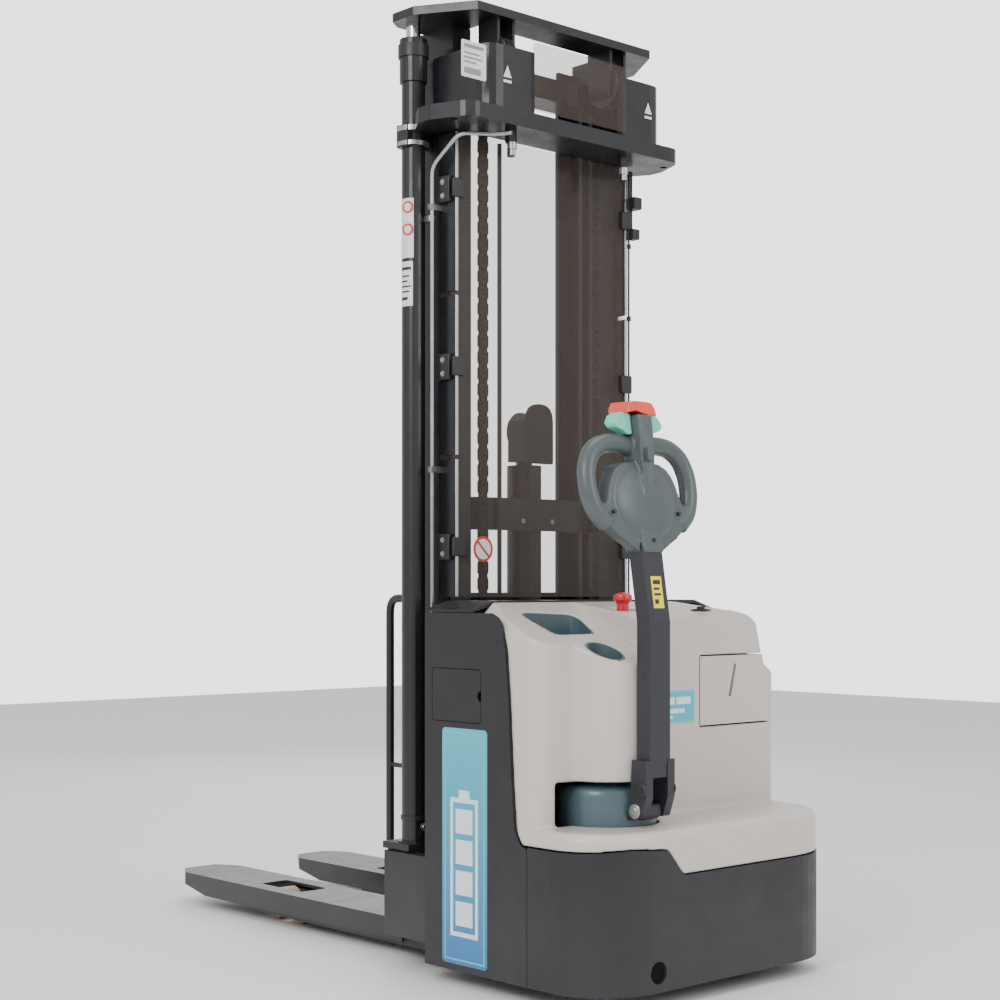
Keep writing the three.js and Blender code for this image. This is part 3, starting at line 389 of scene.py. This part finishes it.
def round_rect(u0, u1, v0, v1, r, steps=5):
    pts = []
    for cu, cv, start in ((u1 - r, v1 - r, 0), (u0 + r, v1 - r, 90), (u0 + r, v0 + r, 180), (u1 - r, v0 + r, 270)):
        for k in range(steps + 1):
            a = math.radians(start + 90 * k / steps)
            pts.append((cu + r * math.cos(a), cv + r * math.sin(a)))
    return pts


def soften(nodes, name, mat, voxel, smooth, body, keep=1.0, made=()):
    """One moulding from CAD nodes, or from made pieces: remeshed finely, its edges rounded, thinned where flat."""
    bm = bmesh.new()
    for source in made or [NODES[node] for node in nodes]:
        bm.from_mesh(source.data)
    for source in made:
        bpy.data.objects.remove(source)
    mesh = bpy.data.meshes.new(name)
    bm.to_mesh(mesh)
    bm.free()
    obj = bpy.data.objects.new(name, mesh)
    bpy.context.scene.collection.objects.link(obj)
    mod = obj.modifiers.new("remesh", "REMESH")
    mod.mode = "VOXEL"
    mod.voxel_size = voxel / 1000
    mod = obj.modifiers.new("round", "SMOOTH")
    mod.iterations = smooth
    mod.factor = 0.5
    if keep < 1:
        mod = obj.modifiers.new("thin", "DECIMATE")
        mod.ratio = keep
    bpy.context.view_layer.update()
    done = bpy.data.meshes.new_from_object(obj.evaluated_get(bpy.context.evaluated_depsgraph_get()))
    obj.modifiers.clear()
    obj.data = done
    done.materials.clear()
    done.materials.append(M[mat])
    for poly in done.polygons:
        poly.use_smooth = True
    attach(obj, body)
    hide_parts(*nodes)
    return obj


def ring(name, centre, axis, r_in, r_out, thick, mat, body, slot=None, sides=40):
    """Flat ring standing thick mm along axis from centre."""
    return lathe(name, [(r_in, 0), (r_out, 0), (r_out, thick), (r_in, thick), (r_in, 0)], centre, axis, mat, body,
                 slot, sides, closed=False)


def tilted(name, outline, centre, right, up, thick, mat, body, slot=None, **more):
    """Thin plate: outline pairs along right and up from centre, thick mm along right x up."""
    right, up = Vector(right).normalized(), Vector(up).normalized()
    out = right.cross(up).normalized()
    base = P(*centre)
    bm = bmesh.new()
    rings = [[bm.verts.new(base + (right * u + up * v + out * h) / 1000) for u, v in outline] for h in (0, thick)]
    bm.faces.new(rings[0])
    bm.faces.new(rings[1])
    for i in range(len(outline)):
        j = (i + 1) % len(outline)
        bm.faces.new((rings[0][i], rings[0][j], rings[1][j], rings[1][i]))
    return place(name, mesh_of(bm, name), mat, body, slot, **more)


def disc(r, sides=32):
    angles = [2 * math.pi * k / sides for k in range(sides)]
    return [(r * math.cos(a), r * math.sin(a)) for a in angles]


# ---------------------------------------------------------------- CAD nodes that keep their shape
slot_of = {s["node"]: s["material_slot"] for s in frame["record"]["subparts"]}
FINE = {"tiller_arm": 3.5}
FINE.update({name: 0 for name in (
    "rod_left", "rod_right", "lift_chain_left", "lift_chain_right", "hood", "tiller_head", "console_insert",
    "hydraulic_pipe", "bow_left", "bow_right", "motor_cover")})
for name, obj in NODES.items():
    obj.data.materials.clear()
    obj.data.materials.append(M[slot_of[name]])
    for poly in obj.data.polygons:
        poly.use_smooth = True
    obj.data.set_sharp_from_angle(angle=math.radians(32))
    width = FINE.get(name, 1.2)
    if width:
        mod = obj.modifiers.new("edges", "BEVEL")
        mod.width = width / 1000
        mod.segments = 2
        mod.limit_method = "ANGLE"
        mod.angle_limit = math.radians(40)

soften(("hood", "hood_panel"), "hood_moulding", "beige_cover", 3.5, 6, "chassis", keep=0.35)

# ---------------------------------------------------------------- tiller head: shield, two grip loops, raised spine
HEAD_X, HEAD_Y, HEAD_Z, LEAN = -171, 91, 979, 0.158


def on_head(dx, d, h):
    """Across, in front of the leaning mid plane, and up from the head's foot, mm."""
    return (HEAD_X + dx, HEAD_Y + LEAN * h + d, HEAD_Z + h)


def head_shell(name, outline, d0, d1, thin=1.0, mat="grip_plastic", body="tiller"):
    """Prism on the leaning plane; its rear side at d0, where its outline may be drawn in."""
    bm = bmesh.new()
    mid_x = sum(u for u, v in outline) / len(outline)
    rows = []
    for d, k in ((d0, thin), (d1, 1.0)):
        rows.append([bm.verts.new(P(*on_head(mid_x + (u - mid_x) * k, d(v) if callable(d) else d, v)))
                     for u, v in outline])
    bm.faces.new(rows[0])
    bm.faces.new(rows[1])
    for i in range(len(outline)):
        j = (i + 1) % len(outline)
        bm.faces.new((rows[0][i], rows[0][j], rows[1][j], rows[1][i]))
    return place(name, mesh_of(bm, name), mat, body, mat)


half_shield = [(27, 175), (62, 171), (84, 160), (98, 146), (108, 128), (118, 100), (126, 84), (146, 80), (142, 52),
               (118, 28), (90, 8), (62, -6), (34, -22)]
shield = half_shield + [(-u, v) for u, v in reversed(half_shield)]
parts = [head_shell("shield", shield, -14, 16, 0.93)]
dome = bmesh.new()
bmesh.ops.create_uvsphere(dome, u_segments=40, v_segments=24, radius=1)
for v in dome.verts:
    x, y, z = v.co
    v.co = P(*on_head(98 * x, -10 + 19 * y, 90 + 86 * z))
parts.append(place("crown", mesh_of(dome, "crown"), "grip_plastic", "tiller"))
for side in (-1, 1):
    loop = [(12, 206), (60, 214), (104, 210), (138, 190), (157, 152), (158, 104), (144, 64), (112, 38)]
    parts.append(pipe(f"loop_{side}", [on_head(side * u, 2, v) for u, v in loop], 20.5, "grip_plastic", "tiller",
                      bend=30, sides=20))
spine = [(25, 276), (24, 200), (19, 110), (13, 10), (14, -18), (-14, -18), (-13, 10), (-19, 110), (-24, 200),
         (-25, 276)]
parts.append(head_shell("spine", spine, lambda v: -20 - 22 * min(1, max(0, v) / 220), 18, 0.84))
neck = [(36, 30), (34, -4), (31, -21), (-31, -21), (-34, -4), (-36, 30)]
parts.append(head_shell("neck", neck, -22, 36, 0.95))
soften(("tiller_head",), "tiller_head_moulding", "grip_plastic", 2.2, 9, "tiller", 0.4, parts)
for k, (u, v) in enumerate(((-104, 62), (98, 62), (2, 2))):
    x, y, z = on_head(u, 0, v)
    lathe(f"head_screw_{k}", [(4.4, -16), (4.4, 20 if k < 2 else 24.5), (3, 20.4 if k < 2 else 25), (0, 20)], (x, y, z),
          (0, -1, LEAN), "dark_print", "tiller", "black_plastic", sides=20)
wing = [(22, 234), (22, 276), (34, 281), (52, 280), (66, 272), (76, 256), (70, 247), (60, 243), (48, 240), (34, 232)]
wings = [head_shell(f"wing_{side}", [(side * u, v) for u, v in wing], -20, 12, 0.92, "teal_plastic", "throttle")
         for side in (-1, 1)]
soften(("throttle_butterfly",), "throttle_wings", "teal_plastic", 1.5, 6, "throttle", 0.5, wings)
cap = [(-50, 278), (-36, 281), (-20, 284), (0, 279), (20, 276), (40, 277), (50, 276), (46, 292), (38, 303), (20, 305.5),
       (-20, 305.5), (-38, 303), (-46, 292)]
caps = [head_shell("cap", cap, -34, 22, 0.9, "red_plastic", "belly_button")]
soften(("belly_button",), "belly_cap", "red_plastic", 1.5, 6, "belly_button", 0.5, caps)
rocker = head_shell("rocker_key", [(-9, 176), (9, 176), (9, 204), (-9, 204)], -44, -36, 0.9, "grip_plastic",
                    "lift_rocker")
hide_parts("lift_rocker")

# ---------------------------------------------------------------- leaf chains
def leaf_chain(side, x):
    """Leaf chain plates and pins round the sheave, one mesh."""
    bm = bmesh.new()
    pitch = 19.05
    r = 48.6
    sy, sz = 553.0, 2118.0
    bottom = 158.0
    straight = sz - bottom
    path_len = straight + math.pi * r + (sz - 1984)

    def at(s):
        if s < straight:
            return sy + r, bottom + s
        s -= straight
        if s < math.pi * r:
            a = s / r
            return sy + r * math.cos(a), sz + r * math.sin(a)
        return sy - r, sz - (s - math.pi * r)

    count = int(path_len / pitch)
    rows = {0: (-12, -6, 0, 6, 12), 1: (-9, -3, 3, 9)}
    for k in range(count):
        y0, z0 = at(k * pitch)
        y1, z1 = at((k + 1) * pitch)
        d = Vector((y1 - y0, z1 - z0))
        if d.length < 1:
            continue
        d.normalize()
        nrm = Vector((-d.y, d.x))
        half = 5.6
        for dx in rows[k % 2]:
            outline = []
            for cy, cz, sign in ((y0, z0, -1), (y1, z1, 1)):
                for q in (-70, -25, 25, 70):
                    a = math.radians(q)
                    vec = d * (sign * math.cos(a) * half) + nrm * (sign * math.sin(a) * half)
                    outline.append((cy + vec.x, cz + vec.y))
            rings = [[bm.verts.new(P(x + dx + t, u, v)) for u, v in outline] for t in (-1.3, 1.3)]
            bm.faces.new(rings[0])
            bm.faces.new(list(reversed(rings[1])))
            for i in range(8):
                j = (i + 1) % 8
                bm.faces.new((rings[0][j], rings[0][i], rings[1][i], rings[1][j]))
        ring0 = []
        for t in (-13, 13):
            ring0.append([bm.verts.new(P(x + t, y0 + u, z0 + v)) for u, v in disc(3.4, 6)])
        bm.faces.new(ring0[0])
        bm.faces.new(list(reversed(ring0[1])))
        for i in range(6):
            j = (i + 1) % 6
            bm.faces.new((ring0[0][j], ring0[0][i], ring0[1][i], ring0[1][j]))
    obj = place(f"leaf_chain_{side}", mesh_of(bm, "chain"), "chain_steel", "inner_mast", "chain_steel", smooth=30)
    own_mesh(obj)
    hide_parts(f"lift_chain_{side}")


leaf_chain("left", -186)
leaf_chain("right", 186)

# ---------------------------------------------------------------- mast guard trim
for side, s in (("left", -1), ("right", 1)):
    for k, (z0, z1) in enumerate(((862, 1180), (1190, 1560), (1570, 1938))):
        prism(f"guard_rail_{side}_{k}", [(s * 282.2, 590), (s * 285.2, 590), (s * 285.2, 645), (s * 282.2, 645)],
              z0, z1, "Z", "mast_paint", "chassis", bevel=0.6)
        block(f"guard_edge_{side}_{k}", s * 278, s * 286, 583.5, 586, z0, z1, "aluminium_edge", "chassis", "zinc_steel",
              bevel=0.5)
    for k, z in enumerate((1778, 1365, 947)):
        block(f"guard_clamp_{side}_{k}", s * 285.3, s * 297, 596, 640, z, z + 60, "black_plastic", "chassis", bevel=2)
        block(f"guard_hinge_{side}_{k}", s * 262, s * 297, 577, 585.5, z + 8, z + 52, "black_plastic", "chassis",
              bevel=2)
        for dz in (14, 46):
            bolt(f"guard_screw_{side}_{k}_{dz}", (s * 297, 618, z + dz), (s, 0, 0), 5, 4, "zinc_steel", "chassis")

# ---------------------------------------------------------------- motor drum with rounded shoulders
STEER = (-175, 206, 0)
lathe("drum", [(106, 262), (110, 268), (110, 430), (109, 440), (105, 449), (98, 455), (88, 458), (64, 459), (62, 462),
               (62, 622), (59, 632), (50, 638), (38, 640), (0, 640)], STEER, (0, 0, 1), "drum_paint",
      "drive_unit", "drum_paint", sides=72)
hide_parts("motor_cover")
ring("drum_seam", (-175, 206, 300), (0, 0, 1), 109.5, 110, 4, "black_plastic", "drive_unit", sides=72)

# ---------------------------------------------------------------- emergency stop, key switch, round label
STOP = (-62, 265)
lathe("stop_mushroom", [(14, 790), (14, 846), (17, 850), (21.4, 855), (22, 861), (20.5, 866), (15, 870), (7, 871.5),
                        (0, 872)], (*STOP, 0), (0, 0, 1), "stop_red", "e_stop_button", "stop_red", sides=56)
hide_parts("e_stop_button")
ring("stop_collar", (*STOP, 818.2), (0, 0, 1), 14.6, 30, 3, "stop_yellow", "chassis")
ring("stop_nut", (*STOP, 821.2), (0, 0, 1), 14.8, 18.5, 5, "black_plastic", "chassis", sides=6)
for k in range(4):
    a0 = math.radians(20 + 90 * k)
    arc = [a0 + math.radians(9 * i) for i in range(5)]
    shape = [(STOP[0] + 28 * math.cos(a), STOP[1] + 28 * math.sin(a)) for a in arc]
    shape += [(STOP[0] + 22 * math.cos(a), STOP[1] + 22 * math.sin(a)) for a in reversed(arc)]
    prism(f"stop_mark_{k}", shape, 821.2, 821.7, "Z", "dark_print", "chassis")
ring("dish_trim", (*STOP, 818.1), (0, 0, 1), 30.4, 35.4, 1.2, "insert_plastic", "chassis")
ring("key_bezel", (160, 226, 829.1), (0, 0, 1), 18.2, 24, 3, "black_plastic", "chassis", sides=40)
tilted("round_label", disc(18),
       (207, 208, 815.4), (0.94, 0, -0.34), (0.1, 0.94, 0.3), 1.2, "white_label", "chassis")
tilted("round_label_mark", [(-11, -2.5), (11, -2.5), (11, 2.5), (-11, 2.5)], (207, 208, 816.2), (0.94, 0, -0.34),
       (0.1, 0.94, 0.3), 0.9, "red_print", "chassis")

# ---------------------------------------------------------------- side decal with a battery sign
FACE = -400.3
prism("side_decal", round_rect(347, 497, 50, 572, 10), FACE, -399, "X", "decal_gradient", "chassis")
for name, box_at in (("lower", (355, 489, 58, 62)), ("upper", (355, 489, 560, 564)), ("rear", (355, 359, 62, 560)),
                     ("front", (485, 489, 62, 560))):
    y0, y1, z0, z1 = box_at
    block(f"decal_line_{name}", FACE - 0.2, -399, y0, y1, z0, z1, "pale_blue", "chassis", bevel=0)
for name, box_at in (("left", (377, 386, 112, 418)), ("right", (460, 469, 112, 418)), ("base", (386, 460, 112, 122)),
                     ("lid", (386, 460, 408, 418)), ("terminal", (405, 441, 418, 436)), ("bar_1", (395, 451, 136, 190)),
                     ("bar_2", (395, 451, 204, 258)), ("bar_3", (395, 451, 272, 326)), ("bar_4", (395, 451, 340, 394))):
    y0, y1, z0, z1 = box_at
    block(f"battery_sign_{name}", FACE - 0.2, -399, y0, y1, z0, z1, "pale_print", "chassis", bevel=0)

# ---------------------------------------------------------------- hood decal: a framed panel with plain bars
prism("hood_decal", round_rect(-45, 95, 575, 650, 8), 187.4, 190, "Y", "pale_blue", "chassis")
prism("hood_decal_field", round_rect(-40, 90, 580, 645, 6), 187.1, 189, "Y", "decal_gradient", "chassis")
for k, (x0, x1, z0, z1) in enumerate(((-30, 26, 618, 634), (32, 80, 618, 634), (-30, 60, 598, 608),
                                      (-30, 20, 586, 592))):
    block(f"hood_decal_bar_{k}", x0, x1, 186.9, 189, z0, z1, "pale_print", "chassis", bevel=0)

# ---------------------------------------------------------------- tiller arm label, plug, pivot bosses and arm bosses
def arm_rear(z):
    return 46 + (z - 810) * 0.158


for name, x0, x1, z0, z1, out, mat in (("plate", -189, -157, 839, 907, 0.5, "yellow_label"),
                                       ("mark_1", -184, -162, 890, 899, 0.9, "dark_print"),
                                       ("mark_2", -184, -166, 878, 883, 0.9, "dark_print"),
                                       ("mark_3", -184, -163, 866, 871, 0.9, "dark_print"),
                                       ("mark_4", -184, -172, 848, 858, 0.9, "dark_print")):
    prism(f"arm_label_{name}", [(arm_rear(z0) - out, z0), (arm_rear(z1) - out, z1), (arm_rear(z1) + 1, z1),
                                (arm_rear(z0) + 1, z0)], x0, x1, "X", mat, "tiller")
lathe("arm_plug", [(6, -1), (6, 0.6), (4.4, 1.6), (0, 1.9)], (-206.5, 69, 703), (-1, 0, 0), "black_plastic", "tiller",
      sides=28)
for side, x, s in (("left", -220, -1), ("right", -130, 1)):
    lathe(f"pivot_boss_{side}", [(16, -1), (16, 3.4), (14.6, 4.6), (10, 4.8), (9.2, 4.8), (9.2, 6.6), (8, 7.4),
                                   (0, 7.4)],
          (x, 76, 407), (s, 0, 0), "zinc_steel", "tiller", sides=36)
    lathe(f"arm_boss_{side}", [(17, -2), (17, 2.2), (15.5, 3.4), (6, 3.6), (6, 5), (0, 5)], (x, 60, 452), (s, 0, 0),
          "black_plastic", "tiller", sides=36)

# ---------------------------------------------------------------- mast guard sign and hose
lathe("guard_sign", [(30, 0), (30, 1.2), (0, 1.2)], (-199.5, 586.3, 973), (0, -1, 0), "white_label", "chassis",
      sides=48)
ring("guard_sign_ring", (-199.5, 585.6, 973), (0, -1, 0), 24, 30, 1, "red_print", "chassis", sides=48)
tilted("guard_sign_bar", [(-25, -2.6), (25, -2.6), (25, 2.6), (-25, 2.6)], (-199.5, 585.2, 973), (0.707, 0, -0.707),
       (0.707, 0, 0.707), 0.8, "red_print", "chassis")
pipe("mast_hose", [(-134.8, 600, 1936), (-134.8, 600, 866)], 5.5, "black_plastic", "chassis")

# ---------------------------------------------------------------- crossbar bolts
for k, x in enumerate((-60.2, 36.4)):
    bolt(f"crossbar_bolt_{k}", (x, 600.5, 1042.6), (0, -1, 0), 7, 5, "zinc_steel", "inner_mast")

# ---------------------------------------------------------------- mast head: labels, chain anchors, marks
prism("crossbeam_label", round_rect(-373, -300, 2024, 2106, 4), 462.4, 464, "Y", "white_label", "chassis")
for k, (z0, z1, x1) in enumerate(((2090, 2098, -308), (2076, 2080, -320), (2066, 2070, -312), (2056, 2060, -330),
                                  (2032, 2046, -316))):
    block(f"crossbeam_label_bar_{k}", -366, x1, 462.1, 463.5, z0, z1, "grey_print", "chassis", bevel=0)
for side, s in (("left", -1), ("right", 1)):
    block(f"lift_mark_{side}", s * 246, s * 222, 462.3, 464, 2034, 2040, "white_label", "chassis", bevel=0)
    prism(f"lift_arrow_{side}", [(s * 246, 2046), (s * 222, 2046), (s * 234, 2073)], 462.3, 464, "Y", "white_label",
          "chassis")
    lathe(f"chain_anchor_{side}", [(8, 0), (8, 14), (11, 15), (11, 30), (8, 31), (8, 44), (5.5, 45), (5.5, 58),
                                   (0, 58)],
          (s * 186, 500, 1882), (0, 0, 1), "zinc_steel", "chassis", sides=24)

# ---------------------------------------------------------------- lift cylinders
CYL = {"left": -325, "right": 325}
CYL_Y, CYL_R = 690, 27.5
for side, x in CYL.items():
    for k, (z0, z1) in enumerate(((1912, 1922), (1946, 1958))):
        ring(f"cylinder_clamp_{side}_{k}", (x, CYL_Y, z0), (0, 0, 1), CYL_R + 0.1, 38, z1 - z0, "zinc_steel", "chassis",
             sides=48)
    ring(f"cylinder_band_{side}", (x, CYL_Y, 342), (0, 0, 1), CYL_R + 0.1, 30, 9, "black_plastic", "chassis", sides=48)
    ring(f"cylinder_gland_{side}", (x, CYL_Y, 2120), (0, 0, 1), CYL_R + 5.1, 36, 30, "black_plastic", "chassis",
         sides=48)


def wrap(name, a0, a1, z0, z1, thick, mat):
    """Label wrapped round the left lift cylinder, degrees from +X."""
    x, y, r = CYL["left"], CYL_Y, CYL_R
    steps = 24
    angles = [math.radians(a0 + (a1 - a0) * i / steps) for i in range(steps + 1)]
    shape = [(x + (r + thick) * math.cos(a), y + (r + thick) * math.sin(a)) for a in angles]
    shape += [(x + (r - 0.5) * math.cos(a), y + (r - 0.5) * math.sin(a)) for a in reversed(angles)]
    prism(name, shape, z0, z1, "Z", mat, "chassis")


wrap("cylinder_sticker", 140, 232, 1650, 1789, 0.3, "white_label")
wrap("cylinder_plate", 150, 228, 1538, 1642, 0.3, "white_label")
for k, z in enumerate((1622, 1606, 1594, 1582, 1570, 1552)):
    tall = 7 if k in (0, 5) else 3.5
    wrap(f"cylinder_plate_bar_{k}", 156, 220 - 9 * (k % 3), z, z + tall, 0.6, "dark_print")
for k, z in enumerate((1768, 1716)):
    tilted(f"sticker_ring_{k}", disc(14),
           (-350.6, 679.2, z), (0.39, -0.92, 0), (0, 0, 1), 0.9, "red_print", "chassis")
    tilted(f"sticker_core_{k}", disc(9.5),
           (-351.2, 678.9, z), (0.39, -0.92, 0), (0, 0, 1), 0.9, "white_label", "chassis")
block("pipe_clip", -318, -300, 640, 662, 1734, 1748, "zinc_steel", "chassis", bevel=1)
lathe("bleed_screw", [(9, 0), (9, 3), (6, 4), (6, 9), (0, 9)], (-325, 655, 326), (0, -1, 0), "zinc_steel", "chassis",
      sides=6)
block("foot_plate_left", -368, -287, 656, 752, 272, 288, "frame_paint", "chassis", bevel=2)
block("foot_plate_right", 287, 368, 656, 752, 272, 288, "frame_paint", "chassis", bevel=2)

# ---------------------------------------------------------------- lift limit switch on the right mast
block("limit_bracket", 286, 300, 578, 584, 1760, 1934, "mast_paint", "chassis", bevel=0.8)
block("limit_box_top", 290, 318, 562, 592, 1838, 1868, "black_plastic", "chassis", bevel=2)
block("limit_box_low", 290, 314, 566, 592, 1762, 1788, "black_plastic", "chassis", bevel=2)
pipe("limit_cable", [(296, 588, 1762), (296, 588, 868)], 2.6, "black_plastic", "chassis", sides=10)
for k, z in enumerate((1740, 1557, 1330, 1110)):
    block(f"cable_clip_{k}", 291, 301, 584, 592, z, z + 12, "black_plastic", "chassis", bevel=1)

# ---------------------------------------------------------------- floor and end
bm = bmesh.new()
for co in ((-9, -9), (9, -9), (9, 9), (-9, 9)):
    bm.verts.new((co[0], co[1], 0))
bm.faces.new(bm.verts)
floor_mesh = bpy.data.meshes.new("floor")
bm.to_mesh(floor_mesh)
bm.free()
floor_mesh.materials.append(floor_mat)
floor = bpy.data.objects.new("floor", floor_mesh)
bpy.context.scene.collection.objects.link(floor)
